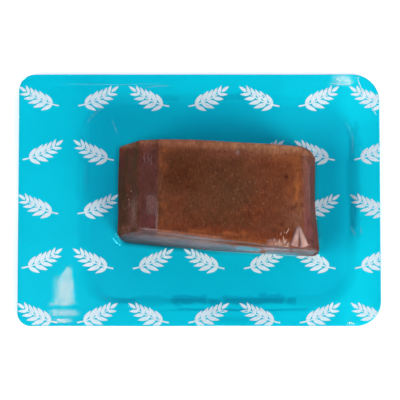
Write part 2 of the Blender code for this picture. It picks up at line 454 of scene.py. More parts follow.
class Nodes:
    """Node tree of a material or of the world, with short calls for what it needs.

    A value is a number, a colour, a node's output, or a node that gives its first output.
    """

    def __init__(self, owner):
        self.owner = owner
        owner.use_nodes = True
        self.tree = owner.node_tree
        self.tree.nodes.clear()

    def add(self, kind, inputs=(), **settings):
        """New node, with values for its inputs, by name or number, and its settings."""
        made = self.tree.nodes.new("ShaderNode" + kind)
        for key, value in settings.items():
            setattr(made, key, value)
        for key, value in dict(inputs).items():
            socket = made.inputs[key]
            if isinstance(value, bpy.types.Node):
                value = value.outputs[0]
            if isinstance(value, bpy.types.NodeSocket):
                self.tree.links.new(value, socket)
            else:
                socket.default_value = (*value, 1) if socket.type == "RGBA" else value
        return made

    def where(self, stretch=(1, 1, 1)):
        """Place on the piece, stretched by factors."""
        place = self.add("TexCoord").outputs["Object"]
        return self.add("Mapping", {"Vector": place, "Scale": stretch})

    def stored(self, name, output="Fac"):
        return self.add("Attribute", attribute_name=name).outputs[output]

    def noise(self, vector, scale, detail=3.0, roughness=0.5, distortion=0.0):
        return self.add("TexNoise", {
            "Vector": vector, "Scale": scale, "Detail": detail, "Roughness": roughness,
            "Distortion": distortion,
        })

    def ramp(self, value, *stops):
        """Colour ramp: stops are a position and a colour, or a position and a grey level."""
        made = self.add("ValToRGB", {"Fac": value})
        elements = made.color_ramp.elements
        while len(elements) < len(stops):
            elements.new(0.5)
        for element, (position, colour) in zip(elements, stops):
            element.position = position
            element.color = (*np.broadcast_to(colour, 3), 1)
        return made

    def maths(self, operation, *values):
        return self.add("Math", enumerate(values), operation=operation)

    def mix(self, factor, a, b, blend="MIX"):
        """Mix of two colours, which are this node's inputs 6 and 7 and its output 2."""
        made = self.add("Mix", {0: factor, 6: a, 7: b}, data_type="RGBA", blend_type=blend)
        return made.outputs[2]

    def bump(self, height, distance, strength):
        return self.add("Bump", {"Height": height, "Distance": distance, "Strength": strength})

    def blend(self, factor, a, b):
        """Mix of two shaders."""
        return self.add("MixShader", enumerate((factor, a, b)))

    def principled(self, colour, roughness, specular, more=()):
        return self.output(self.add("BsdfPrincipled", {
            "Base Color": colour, "Roughness": roughness, "Specular IOR Level": specular,
            **dict(more),
        }))

    def output(self, shader, kind="OutputMaterial"):
        self.add(kind, {"Surface": shader})
        return self.owner


# Materials

TURQUOISE = (0.0005, 0.57, 0.625)
TURQUOISE_DEEP = (0.0004, 0.548, 0.605)
# Painted shade that multiplies the print, by the share that its points store
BACKING_TINTS = {
    "shaded": (0.7, 0.7, 0.76), "pocket_shade": (0.9, 0.88, 0.92),
    "relief_shade": (0.5, 0.5, 0.62), "contact_shadow": (0.1, 0.08, 0.1),
}
INK_WHITE = ((0.48, 0.61, 0.575), (0.66, 0.79, 0.75))
PALE_SPECK = (0.27, 0.15, 0.08)
DARK_VEIN = (0.04, 0.011, 0.005)
CYAN_GLINT = (0.1, 0.9, 1)
GLARE_TINT = (1, 0.46, 0.22)
HAZE = (0.76, 0.78, 0.82)
# Warm haze, which in places paints glare
WARM_HAZE_AND_GLARE = (0.88, 0.56, 0.42)
# Painted reflection of the turquoise sheet in the film over the block's front
SHEET_REFLECTION_TINT = (0.02, 0.52, 0.6)
# SPARKLE and GLINT_TINT are diffuse tints of folds whose haze paints glints and highlights
SPARKLE = (0.92, 0.6, 0.4)
CURL_TINT = (0.62, 0.4, 0.42)
GLINT_TINT = (0.8, 1, 1)
# What one face of the film mirrors face on, and what it gains at a glance
FILM_MIRROR = 0.018
FILM_GRAZE = 0.26
FILM_ROUGHNESS = 0.06
PRINT_SPECULAR = 0.04
FLESH_SPECULAR = 0.05
# Noise: features to a metre, stretch, and depth of its bump
CLOUD_SCALE = 28
PRINT_GRAIN_SCALE = 2500
PRINT_GRAIN_DEPTH = 0.02 * MM
INK_GRAIN_SCALE = 1800
STREAK_SCALE = 1500
WISP_SCALE = 330
ALONG_PACK = (1, 0.12, 1)
ACROSS_PACK = (0.35, 1, 1)
RIPPLE_SCALE = 240
RIPPLE_DEPTH = 0.04 * MM
VEIN_SCALE = 95
SPECK_SCALE = 800
CLUSTER_SCALE = 620
FIBRE_STRETCH = (1, 0.3, 1)
FLESH_GRAIN_SCALE = 900
FLESH_GRAIN_DEPTH = 0.1 * MM
# How deep light goes into the flesh
FLESH_DEPTH = 1.2 * MM


def new_material(name):
    return Nodes(bpy.data.materials.new(name))


def backing_material():
    nodes = new_material("backing_print")
    where = nodes.where()
    clouds = nodes.noise(where, CLOUD_SCALE, detail=2.0)
    colour = nodes.ramp(clouds, (0.38, TURQUOISE_DEEP), (0.62, TURQUOISE))
    # Each tint is painted shade
    for name, tint in BACKING_TINTS.items():
        colour = nodes.mix(nodes.stored(name), colour, nodes.mix(1.0, colour, tint, "MULTIPLY"))
    grain = nodes.noise(where, PRINT_GRAIN_SCALE, detail=2.0)
    relief = nodes.bump(grain, PRINT_GRAIN_DEPTH, 0.4)
    roughness = nodes.ramp(grain, (0.3, 0.42), (0.7, 0.52))
    return nodes.principled(colour, roughness, PRINT_SPECULAR, {"Normal": relief})


def ink_material():
    nodes = new_material("print_white")
    grain = nodes.noise(nodes.where(), INK_GRAIN_SCALE, detail=2.0)
    colour = nodes.ramp(grain, (0.3, INK_WHITE[0]), (0.7, INK_WHITE[1]))
    return nodes.principled(colour, 0.45, PRINT_SPECULAR)


def film_material(name, haze=None, tint=None, mirror=1.0):
    """Clear film: it mirrors a little, more at a glance, and passes the rest unless it is hazy.

    Without a haze of its own, it shows what its points store. A haze, its own or stored, in places
    paints highlights and glare, and reflections of the turquoise sheet.
    """
    nodes = new_material(name)
    facing = nodes.add("LayerWeight", {"Blend": 0.5}).outputs["Facing"]
    grazing = nodes.maths("POWER", facing, 5.0)
    share = nodes.maths("MULTIPLY_ADD", grazing, FILM_GRAZE * mirror, FILM_MIRROR * mirror)
    streaks = nodes.noise(nodes.where(ALONG_PACK), STREAK_SCALE)
    share = nodes.maths("MULTIPLY", share, nodes.ramp(streaks, (0.34, 0.45), (0.64, 1.0)))
    glint = (1.0, 1.0, 1.0)
    if haze is None:
        share = nodes.maths("MULTIPLY", share, nodes.stored("shine"))
        glint = nodes.mix(nodes.stored("bare"), CYAN_GLINT, glint)
        glint = nodes.mix(nodes.stored("glare"), glint, GLARE_TINT)
        # Warmth below 0 gives painted reflections of the turquoise sheet, and above it a warm haze
        # that in places paints glare
        warmth = nodes.maths("MULTIPLY_ADD", nodes.stored("warm"), 0.5, 0.5)
        tint = nodes.ramp(warmth, (0.0, SHEET_REFLECTION_TINT), (0.5, HAZE), (1.0, WARM_HAZE_AND_GLARE))
        haze = nodes.stored("haze")
    ripple = nodes.bump(nodes.noise(nodes.where(), RIPPLE_SCALE), RIPPLE_DEPTH, 0.6)
    gloss = nodes.add("BsdfAnisotropic", {
        "Color": glint, "Roughness": FILM_ROUGHNESS, "Normal": ripple,
    })
    surface = nodes.blend(share, nodes.add("BsdfTransparent"), gloss)
    wisps = nodes.noise(nodes.where(ACROSS_PACK), WISP_SCALE, detail=4.0)
    amount = nodes.maths("MULTIPLY", haze, nodes.ramp(wisps, (0.34, 0.55), (0.64, 1.0)))
    return nodes.output(nodes.blend(amount, surface, nodes.add("BsdfDiffuse", {"Color": tint})))


def fish_material():
    """Dried flesh: zones stored with the mesh, then mottling, fibres, veins and pale specks."""
    nodes = new_material("cured_fish")
    where, fibres = nodes.where(), nodes.where(FIBRE_STRETCH)
    colour = nodes.stored("zone", "Color")
    for vector, scale, detail, low, high in (
        (where, 120.0, 4.0, 0.85, 1.15), (where, 420.0, 3.0, 0.89, 1.11),
        (fibres, 1100.0, 2.0, 0.80, 1.22),
    ):
        mottling = nodes.ramp(nodes.noise(vector, scale, detail, 0.6), (0.32, low), (0.68, high))
        colour = nodes.mix(1.0, colour, mottling, "MULTIPLY")
    veins = nodes.noise(where, VEIN_SCALE, detail=4.0, distortion=1.4)
    colour = nodes.mix(nodes.ramp(veins, (0.31, 0.45), (0.39, 0.0)), colour, DARK_VEIN)
    cells = nodes.add("TexVoronoi", {"Vector": where, "Scale": SPECK_SCALE})
    pale = nodes.ramp(cells, (0.15, 1.0), (0.45, 0.0))
    clusters = nodes.ramp(nodes.noise(where, CLUSTER_SCALE), (0.50, 0.0), (0.62, 1.0))
    for factor in (clusters, nodes.stored("specks")):
        pale = nodes.maths("MULTIPLY", pale, factor)
    colour = nodes.mix(pale, colour, PALE_SPECK)
    grain = nodes.noise(where, FLESH_GRAIN_SCALE)
    roughness = nodes.ramp(grain, (0.3, 0.38), (0.7, 0.55))
    return nodes.principled(colour, roughness, FLESH_SPECULAR, {
        "Normal": nodes.bump(grain, FLESH_GRAIN_DEPTH, 0.6), "Subsurface Weight": 0.12,
        "Subsurface Radius": (1.0, 0.35, 0.15), "Subsurface Scale": FLESH_DEPTH,
    })


def floor_material():
    nodes = new_material("studio_floor")
    glow = {"Emission Color": (1, 1, 1), "Emission Strength": 0.35}
    return nodes.principled((0.85, 0.85, 0.85), 0.9, 0.0, glow)


# Pieces


def dress(piece, material, slot, *replaced):
    piece.data.materials.append(material)
    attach(piece, "root")
    if replaced:
        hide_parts(*replaced)


# Distances from the block at which the sheet under it has rings, in mm
CONTACT_STEPS = (4, 3.2, 2.6, 1.9, 1.4, 1, 0.7, 0.3, 0, -0.6)
# How dark the painted contact shadow is at each of them, and how much of it shows at each column
# along the front
CONTACT_SHADOW_DARK = (0, 0, 0.05, 0.23, 0.38, 0.54, 0.7, 0.85, 0.95, 0.95)
FRONT_CONTACT_SHADOW = (
    (118, 0.5), (130, 1), (160, 1), (186, 0.75), (205, 0.5), (225, 0.28), (250, 0.12), (300, 0),
)
SIDE_CONTACT_SHADOW = 0.45
# How shaded the sheet is at each column
SHADE = (
    (20, 0.52), (60, 0.6), (90, 0.68), (112, 0.52), (200, 0.46), (300, 0.44), (335, 0.46),
    (347, 0.12), (358, 0.12), (370, 0.22), (382, 0.44),
)
# Painted shade where the sheet bridges a rib or creases, on the pocket's walls and along the seal
# line: ends, half width, softness and strength
RELIEF_SHADE_BANDS = (
    (104, 299, 137, 300.8, 2.6, 2.2, 0.2), (171, 299.4, 208, 299.2, 4.4, 1.3, 0.52),
    (210.4, 303.2, 218.8, 303.8, 3.9, 1.3, 0.52), (174, 304.6, 181, 304.4, 2, 1.2, 0.42),
    (186, 297.6, 206, 297.2, 0.9, 1.1, 0.64), (224, 300, 262, 300.2, 3.9, 1.6, 0.46),
    (258, 299.4, 283.4, 299, 4.4, 1.3, 0.52), (287.6, 301.2, 296.6, 302, 4, 1.4, 0.46),
    (266, 297.4, 282, 297, 0.9, 1.1, 0.64), (244, 304.6, 256, 305, 1.7, 1.3, 0.36),
    (153, 97.2, 180, 97.2, 2.8, 1.6, 0.38), (214, 97, 270, 96.8, 3.2, 1.7, 0.48),
    (118, 98, 322, 97.6, 2.6, 2.4, 0.1), (80.4, 128, 80, 262, 3, 2.8, 0.15),
    (79, 164, 79, 191, 2.2, 1.2, 0.16), (84, 126, 90, 112, 1.2, 1.6, 0.2),
    (90, 112, 101, 101, 1.3, 1.6, 0.24), (101, 101, 116, 95.4, 1.2, 1.6, 0.22),
    (354.6, 122, 358.2, 140, 2.4, 1.5, 0.38), (358.2, 140, 357.4, 160, 2.4, 1.5, 0.38),
    (357.6, 195, 357.6, 237, 2.6, 1.7, 0.36), (358, 160, 358, 195, 2.4, 2.4, 0.16),
    (178, 309, 248, 310, 1, 0.8, 0.55), (248, 310, 308, 309, 1, 0.8, 0.48),
    (120, 309.4, 346, 309, 0.6, 0.8, 0.12), (216, 319.4, 268, 319.2, 2, 2.8, 0.22),
)


def relief_shade_share(points):
    """How much painted shade darkens the sheet where it bridges a rib or creases, on the pocket's
    walls and along the seal line.
    """
    u, v = to_pixel(points)
    wander = fractal(points, 5 * MM, 3, 5.3)
    share = np.zeros(len(points))
    for *ends, half, soft, strength in RELIEF_SHADE_BANDS:
        stray = wander * min(half, 3.0) * 0.8
        band = wedge(u + 2 * stray, v + stray, *ends, half, half, soft)
        share = np.maximum(share, strength * band)
    return share


def contact_shadow_share(points):
    """How dark the painted contact shadow is where the block meets the sheet."""
    u, _ = to_pixel(points)
    in_front = smooth_step(-20 * MM, -23 * MM, points[:, 1])
    side = SIDE_CONTACT_SHADOW + (np.interp(u, *zip(*FRONT_CONTACT_SHADOW)) - SIDE_CONTACT_SHADOW) * in_front
    dark = np.zeros(len(points) // AROUND)
    dark[-3 - len(CONTACT_SHADOW_DARK):] = (*CONTACT_SHADOW_DARK, *CONTACT_SHADOW_DARK[-1:] * 3)
    return np.repeat(dark, AROUND) * side


def make_backing():
    rings = dish_rings(30, 40)
    foot = rings[-1]
    edge = block_ring(0, CONTACT_STEPS[0] * MM)
    rings += between(foot, edge, 7)
    rings += [block_ring(0, out * MM) for out in CONTACT_STEPS]
    last = rings[-1]
    rings += [last + (last.mean(axis=0) - last) * share for share in (0.3, 0.6, 0.9)]
    flat = np.concatenate(rings)
    points = lifted(flat, backing_height(flat))
    backing = ring_skin("backing", points)
    # Painted shade along ribs, walls, creases and the seal line
    attribute(backing, "relief_shade", relief_shade_share(points))
    # Painted shade: the pocket's floor and walls are darker than the flange
    attribute(backing, "pocket_shade", wall_share(flat))
    # Painted contact shadow round the block's foot
    attribute(backing, "contact_shadow", contact_shadow_share(points))
    # Painted shade that varies across the sheet's columns
    attribute(backing, "shaded", np.interp(to_pixel(points)[0], *zip(*SHADE)))
    thicken(backing, SHEET_THICK, -1)
    dress(backing, backing_material(), "backing_print", "printed_backing")


# Colours of the flesh's zones
FLESH = (0.096, 0.03, 0.01)
DARK = (0.062, 0.0165, 0.0045)
OLIVE = (0.086, 0.032, 0.0115)
WARM = (0.122, 0.033, 0.0105)
RED = (0.128, 0.027, 0.008)
# ORANGE, HOT, RIM and RIM_WARM colour the edges: partly the flesh's own colour and partly painted
# light glowing through the thin edges
ORANGE = (0.235, 0.068, 0.018)
HOT = (0.285, 0.1, 0.02)
RIM = (0.285, 0.125, 0.055)
RIM_WARM = (0.222, 0.083, 0.038)
RUST = (0.14, 0.044, 0.022)
TAN = (0.15, 0.058, 0.03)
SPOT_RED = (0.045, 0.008, 0.004)
# Plum of the shoulder: partly the flesh's colour and partly a painted purple-grey reflection on its
# slope
PLUM = (0.076, 0.0225, 0.014)
# MAUVE and LILAC are partly painted light that the turquoise sheet bounces onto the flesh
MAUVE = (0.118, 0.033, 0.019)
LILAC = (0.1, 0.036, 0.028)
CRIMSON = (0.15, 0.034, 0.036)
END_PLUM = (0.07, 0.012, 0.005)
RED_EDGE = (0.085, 0.012, 0.002)
FACET = (0.06, 0.0195, 0.006)
FACET_OLIVE = (0.04, 0.02, 0.006)
FACET_PLUM = (0.08, 0.019, 0.012)
FACET_PALE = (0.115, 0.04, 0.022)
STRIP = (0.064, 0.03, 0.026)
# Painted shade low on the block's front, tinted by a painted reflection of the turquoise sheet
STRIP_FOOT_SHADE = (0.034, 0.046, 0.048)

# Soft patches: colour, place, reach and strength
TOP_PATCHES = (
    (DARK, 183, 174, 22, 16, 0.95), (DARK, 206, 163, 20, 9, 0.45), (DARK, 194, 187, 12, 8, 0.6),
    (DARK, 171, 185, 4, 26, 0.25), (OLIVE, 233, 190, 28, 24, 0.9), (OLIVE, 190, 205, 16, 9, 0.65),
    (DARK, 228, 176, 13, 9, 0.3), (RED, 255, 213, 11, 8, 0.65), (RED, 262, 199, 7, 9, 0.4),
    (DARK, 250, 216, 6, 4, 0.35), (RED, 178, 206, 9, 10, 0.45), (WARM, 170, 222, 12, 10, 0.5),
    (RUST, 245, 154, 48, 5, 0.65), (WARM, 276, 170, 14, 9, 0.5), (RED, 272, 162, 9, 6, 0.4),
    (WARM, 195, 220, 9, 7, 0.55), (ORANGE, 166, 151, 8, 4, 0.2), (TAN, 160, 182, 2.4, 9, 0.45),
    (ORANGE, 163, 212, 6, 20, 0.22), (ORANGE, 162, 160, 4, 12, 0.22), (RED, 222, 231, 22, 4, 0.7),
    (ORANGE, 232, 233.5, 15, 2.4, 0.85), (ORANGE, 196, 232, 12, 2.6, 0.5),
    (ORANGE, 246, 238, 12, 2.4, 0.5), (RUST, 268, 229, 12, 8, 0.3),
    (ORANGE, 272, 241, 18, 2.6, 0.5), (ORANGE, 290, 184, 5, 36, 0.24),
    (RIM, 280, 151.5, 20, 4.2, 0.55), (ORANGE, 276, 157, 18, 5, 0.35),
    (ORANGE, 297, 190, 3.4, 30, 0.88), (HOT, 297, 196, 2.6, 14, 0.35),
    (ORANGE, 296, 160, 4, 8, 0.6), (TAN, 297.5, 222, 3.6, 10, 0.75), (TAN, 292, 216, 9, 14, 0.65),
    (TAN, 301, 214, 3, 16, 0.4), (SPOT_RED, 286.6, 178, 2, 2.8, 0.9), (RED, 283, 236, 16, 4, 0.5),
)
SHOULDER_PATCHES = (
    (RUST, 146, 146, 12, 5, 0.6), (RED, 143, 152, 5, 6, 0.3), (MAUVE, 152, 205, 4.5, 9, 0.6),
    (RIM, 144, 141.5, 14, 2.6, 0.6), (CRIMSON, 150, 222, 5.5, 6, 0.55),
    (TAN, 139.5, 208, 2.2, 24, 0.22), (TAN, 158, 182, 2.2, 9, 0.4),
)
FACET_PATCHES = (
    (RED, 122.5, 149.5, 3.2, 2.6, 0.8), (RUST, 123, 230, 5, 5, 0.6), (RIM, 127, 145.5, 9, 2.4, 0.5),
    (FACET_PALE, 133, 214, 4.6, 11, 0.7), (FACET_PALE, 129, 228, 4.5, 4.5, 0.6),
)
END_PATCHES = (
    (CRIMSON, 307, 222, 3, 9, 0.6), (CRIMSON, 311, 234, 3, 7, 0.45), (RIM, 306, 154, 7, 3, 0.6),
    (TAN, 307, 162, 4.5, 6, 0.5),
)
# Bands of the right end: where on the slope each is strongest, its reach and its strength
# The mauve and lilac bands paint light that the turquoise sheet bounces onto the slope, and the
# film's haze over it
END_BANDS = (
    (TAN, -0.04, 0.14, 0.8), (MAUVE, 0.22, 0.16, 0.8), (LILAC, 0.46, 0.08, 0.9),
    (END_PLUM, 0.65, 0.1, 0.95), (RED_EDGE, 0.9, 0.16, 0.95),
)
# Rows and columns of the slope's top and foot
END_RIDGE = ((150, 300), (246, 304.5))
END_FOOT = ((156, 314.5), (252, 319))


def edge_distances(xy):
    """How far points lie inside the top's front, right, back and left edges, in mm."""
    ends = zip(TOP_CORNERS, np.roll(TOP_CORNERS, -1, axis=0))
    sides = [(a, unit(b - a)) for a, b in ends]
    return [(xy - a) @ (-along[1], along[0]) / MM for a, along in sides]


def flesh_zones(points):
    """Colour of the flesh at points, blended from its zones with wandering borders."""
    wander = fractal(points, 9 * MM, 3, 3.1)
    fine = fractal(points, 3.0 * MM, 3, 7.7)
    u, v = to_pixel(points)
    u, v = u + 2.2 * wander + 0.8 * fine, v + 2.2 * fine
    front, right, back, left = edge_distances(points[:, :2])
    colour = np.tile(FLESH, (len(points), 1))

    def lay(zone, weight):
        share = np.clip(weight, 0, 1)[:, None]
        colour[:] = colour * (1 - share) + np.array(zone) * share

    def lay_patches(patches, within=1.0):
        for zone, *place, strength in patches:
            lay(zone, within * (strength + 0.25 * fine) * spot(u, v, *place))

    lay(WARM, 0.8 * smooth_step(236, 282, u))
    lay(RED, (0.55 + 0.6 * fine) * bell(front, 3.5, 4.5))
    lay_patches(TOP_PATCHES)
    # Rims at the back and front edges: partly the flesh's colour and partly painted light glowing
    # through the thin edges
    rim = 0.9 + 0.4 * fine
    lay(RIM_WARM, rim * smooth_step(6.0, 1.4, back) * smooth_step(240, 205, u))
    lay(RIM, rim * smooth_step(5.6, 0.8, back) * smooth_step(195, 245, u))
    lay(ORANGE, (0.35 + 0.6 * fine) * smooth_step(1.6, 0.2, front))
    on_end = smooth_step(0.8, -0.6, right)
    lay(RUST, on_end)
    ridge_u, foot_u = (np.interp(v, *zip(*line)) for line in (END_RIDGE, END_FOOT))
    across = (u - ridge_u) / (foot_u - ridge_u)
    # The mauve and lilac bands are painted bounce light
    for zone, middle, reach, strength in END_BANDS:
        lay(zone, on_end * (strength + 0.3 * fine) * bell(across, middle, reach))
    lay_patches(END_PATCHES, on_end)
    on_shoulder = smooth_step(0.4, -0.8, left)
    # Partly a painted purple-grey reflection on the shoulder's slope
    lay(PLUM, on_shoulder)
    lay_patches(SHOULDER_PATCHES, on_shoulder)
    on_facet = smooth_step(-10.8, -12.2, left + 1.3 * wander)
    lay(FACET, on_facet)
    grain = fractal(points * (1, 0.07, 1), 1.3 * MM, 2, 11.3)
    lay(FACET_OLIVE, on_facet * smooth_step(-0.05, 0.12, grain))
    lay(FACET_PLUM, on_facet * smooth_step(-0.08, -0.20, grain))
    lay_patches(FACET_PATCHES, on_facet)
    on_strip = smooth_step(0.2, -0.8, front)
    lay(STRIP, on_strip)
    # Painted shade low on the front, tinted by a painted reflection of the turquoise sheet
    lay(STRIP_FOOT_SHADE, on_strip * smooth_step(12 * MM, 4 * MM, points[:, 2]))
    return colour


def speck_share(points):
    """How many pale specks show: most in the middle of the top, and none low on the sides."""
    inside = np.minimum.reduce(edge_distances(points[:, :2]))
    middle = spot(*to_pixel(points), 245, 188, 38, 26)
    return smooth_step(-3, 4, inside) * (0.22 + 0.28 * middle)


def make_block():
    levels = np.linspace(0, RIM_HEIGHT, 36)[:-1]
    points = np.concatenate(block_rings(levels, 0, 8, 58))
    block = ring_skin("mojama", points, capped_below=True)
    attribute(block, "zone", flesh_zones(points))
    attribute(block, "specks", speck_share(points))
    dress(block, fish_material(), "cured_fish", "mojama_block")


# The film leaves the block above the pocket floor: distance out, and height, in mm
TENT = ((3.6, 0), (2.6, 0.1), (1.8, 0.28), (1.2, 0.6), (0.75, 1.1), (0.4, 1.9), (0.15, 3.2))
# Glare on the flange, inside boxes: ends, half widths, softness and strength
GLARE_BOXES = ((10, 246, 96, 328), (282, 50, 390, 122), (330, 300, 372, 330))
GLARE_BANDS = (
    (68.8, 266.5, 65.6, 281, 1.6, 7, 1.3, 0.85), (65.6, 281, 65.4, 304.6, 7.4, 8.2, 1.2, 0.85),
    (56.5, 276, 55.5, 303.5, 2.2, 2.4, 2.2, 0.42), (49.6, 304.3, 73, 304.5, 1.1, 0.9, 0.7, 0.95),
    (49.5, 312.7, 77, 312.7, 3.4, 3.4, 0.8, 0.5), (49.5, 310.4, 77, 310.4, 0.6, 0.6, 0.6, 0.8),
    (49.5, 312.9, 77, 312.7, 0.6, 0.6, 0.6, 0.9), (49.5, 315.4, 74, 315.2, 0.6, 0.6, 0.6, 0.75),
    (50.5, 320.8, 71, 320.8, 2.3, 2.3, 0.8, 0.55), (51, 320.2, 70, 320.4, 0.6, 0.6, 0.6, 0.85),
    (332.5, 79.4, 347, 79.6, 3.8, 4.2, 1.2, 0.4), (346.8, 76, 350.6, 83.6, 2.4, 2.6, 0.9, 1),
    (338, 76.4, 348, 77, 0.8, 1.6, 1, 0.62), (329, 84.4, 350, 85, 0.5, 0.7, 0.6, 0.55),
    (350.4, 314.2, 350.6, 324.6, 0.2, 3.6, 0.8, 0.85),
    (357, 319.5, 357.4, 323.5, 0.4, 1, 0.8, 0.35),
)
# Lobes of the pucker at the front right corner, whose warm haze paints a softbox's glare: ends, half
# widths and haze
PUCKER_LOBES = (
    (298.6, 226.5, 294.4, 245.8, 0.6, 3.4, 0.36), (299.4, 226.5, 305, 246.2, 0.6, 3.2, 0.36),
)
PUCKER_RISE = 0.5 * MM
# Milky patches of the film over the block, many of them painted highlights, and painted reflections
# of the turquoise sheet where the warmth is below 0: ends, half widths, softness, haze and warmth
HAZE_AND_REFLECTION_BANDS = (
    (151.4, 195, 151.2, 214, 4.4, 4.4, 2, 0.034, 0.6),
    (157.2, 200, 156.6, 228, 0.3, 0.6, 0.8, 0.1, 1),
    (142, 229, 156.5, 229.8, 0.6, 0.6, 0.8, 0.14, 1),
    (237.8, 150.5, 237.8, 154.5, 1.2, 1.4, 1.2, 0.1, 1),
    (308.4, 160, 309.6, 214, 0.4, 0.4, 0.8, 0.03, 0),
    (134, 200, 133.6, 226, 1.6, 2.2, 1.5, 0.02, 0.7),
    (300.4, 244, 300.6, 254, 0.7, 0.5, 0.8, 0.12, 0.3),
    (292, 251, 318, 250.5, 1, 1.6, 1.2, 0.05, 0.4), (268, 242, 290, 244.5, 2.4, 2.4, 1.8, 0.11, 1),
    (222, 245.4, 229, 246.4, 0.8, 0.8, 1.2, 0.25, -1),
    (237, 247.6, 260, 249.8, 1.5, 1.6, 1.8, 0.4, -1),
    (266, 252.6, 298, 254.2, 1.3, 1.3, 1.8, 0.36, -1),
    (262, 248.4, 290, 250.2, 1.3, 1.3, 1.4, 0.18, 0),
    (292, 250, 316, 251.4, 0.7, 0.7, 0.9, 0.18, 0.2), (122, 236, 136, 232, 0.4, 0.4, 0.7, 0.1, 0),
    (136, 232, 158, 231, 0.4, 0.4, 0.7, 0.06, 0.5),
    (158, 230.2, 222, 237.2, 0.5, 0.5, 0.8, 0.045, 1),
    (296, 253.8, 314, 253, 0.8, 0.8, 0.8, 0.25, -1),
)
# The strip of film along the block's front: haze and shine at each column
STRIP_HAZE = (
    (118, 0.03), (150, 0.055), (178, 0.06), (205, 0.075), (232, 0.06), (262, 0.06), (290, 0.05),
    (318, 0.03),
)
STRIP_SHINE = (
    (118, 0.3), (170, 0.45), (215, 0.8), (245, 1.5), (258, 0.9), (272, 1.45), (300, 1), (318, 0.7),
)


def film_looks(points, block_share):
    """What the film shows at points: tints and strength of its gloss, its haze and warmth. The haze
    in places is painted highlights, glare and reflections of the turquoise sheet.
    """
    u, v = to_pixel(points)
    front, right, back, left = edge_distances(points[:, :2])
    on_front = smooth_step(0.4, -0.6, front) * block_share
    foot = smooth_step(11 * MM, 3 * MM, points[:, 2]) * smooth_step(240, 200, u)
    in_box, glare, warm = np.zeros((3, len(points)))
    for x0, y0, x1, y1 in GLARE_BOXES:
        in_box = np.maximum(in_box, span_weight(u, (x0, x1), 1.5) * span_weight(v, (y0, y1), 1.5))
    for *band, strength in GLARE_BANDS:
        glare = np.maximum(glare, strength * wedge(u, v, *band))
    haze = on_front * np.interp(u, *zip(*STRIP_HAZE)) * (1 - 0.8 * foot)
    # Haze bands, many of them painted highlights and reflections of the turquoise sheet
    for *band, amount, warmth in HAZE_AND_REFLECTION_BANDS:
        weight = block_share * wedge(u, v, *band)
        warm += (warmth - warm) * weight
        haze = np.maximum(haze, weight * amount)
    # The pucker's warm haze is a painted glare
    for *lobe, amount in PUCKER_LOBES:
        weight = block_share * wedge(u, v, *lobe, 1.0)
        warm += (1 - warm) * weight
        haze = np.maximum(haze, weight * amount * (0.6 + 0.4 * smooth_step(228, 240, v)))
    shine = (1 - 0.93 * block_share) * (1 - in_box) + in_box * glare
    for lost, edge, start, end in (
        (0.7, left, 0.3, -1.0), (0.8, left, -9.0, -13.0), (0.7, right, 0.8, -1.5),
        (0.7, back, 1.0, -0.5),
    ):
        shine *= 1 - lost * smooth_step(start, end, edge) * block_share
    shine += (np.interp(u, *zip(*STRIP_SHINE)) * (1 - 0.8 * foot) - shine) * on_front
    tinted = smooth_step(0, 0.4, glare)
    return {"bare": block_share, "glare": tinted, "haze": haze, "warm": warm, "shine": shine}


def make_film():
    """Makes the film, and returns its surface for what lies on it."""
    rings = [lifted(ring, backing_height(ring) + FILM_GAP) for ring in dish_rings(18, 22)]
    foot = rings[-1][:, :2]
    floor = FLOOR_TOP + FILM_GAP
    edge = block_ring(0, TENT[0][0] * MM + FILM_CLEAR)
    rings += [lifted(ring, floor) for ring in between(foot, edge, 4)]
    shares = [0.0] * len(rings)
    for out, rise in TENT:
        ring = block_ring(rise * MM, out * MM + FILM_CLEAR)
        rings.append(lifted(ring, floor + rise * MM))
        shares.append(smooth_step(0.8, 2.8, rise))
    levels = np.linspace(4.2 * MM, RIM_HEIGHT, 14)[:-1]
    rings += [ring + (0, 0, FILM_GAP) for ring in block_rings(levels, FILM_CLEAR, 8, 44)]
    shares += [1.0] * (len(rings) - len(shares))
    block_share = np.repeat(shares, AROUND)
    points = np.concatenate(rings)
    u, v = to_pixel(points)
    for *lobe, _ in PUCKER_LOBES:
        points[:, 2] += PUCKER_RISE * block_share * wedge(u, v, *lobe, 1.4)
    film = ring_skin("film", points)
    for name, values in film_looks(points, block_share).items():
        attribute(film, name, values)
    thicken(film, FILM_THICK, 1)
    dress(film, film_material("clear_film"), "clear_film", "clear_film")
    faces = [face.vertices[:] for face in film.data.polygons]
    return BVHTree.FromPolygons(points.tolist(), faces)


# Creases, puckers and bubbles of the film


def on_film(surface, px, py):
    """Point and normal of the film where a pixel sees it."""
    place, normal, _, _ = surface.ray_cast(Vector(VIEW_PLACE), Vector(pixel_ray(px, py)))
    return np.array(place), np.array(normal if normal.z > 0 else -normal)


def resampled(path):
    """Even points along a path of pixels, rounded where it bends."""
    path = np.reshape(path, (-1, 2))
    travel = np.concatenate(((0,), np.cumsum(np.linalg.norm(np.diff(path, axis=0), axis=1))))
    even = np.linspace(0, travel[-1], max(8, int(travel[-1] * 1.4)))
    points = np.column_stack([np.interp(even, travel, path[:, k]) for k in (0, 1)])
    for _ in range(3):
        points[1:-1] = (points[:-2] + 2 * points[1:-1] + points[2:]) / 4
    return points


# Sections: shares of the half width or radius, and of the height
BUBBLE_SIDES = 12
BUBBLE_SECTION = ((1, -0.25), (0.86, 0.38), (0.55, 0.8))
RIDGE_SECTION = ((-1, -0.3), (-0.55, 0.62), (0, 1), (0.55, 0.62), (1, -0.3), (0, -0.5))


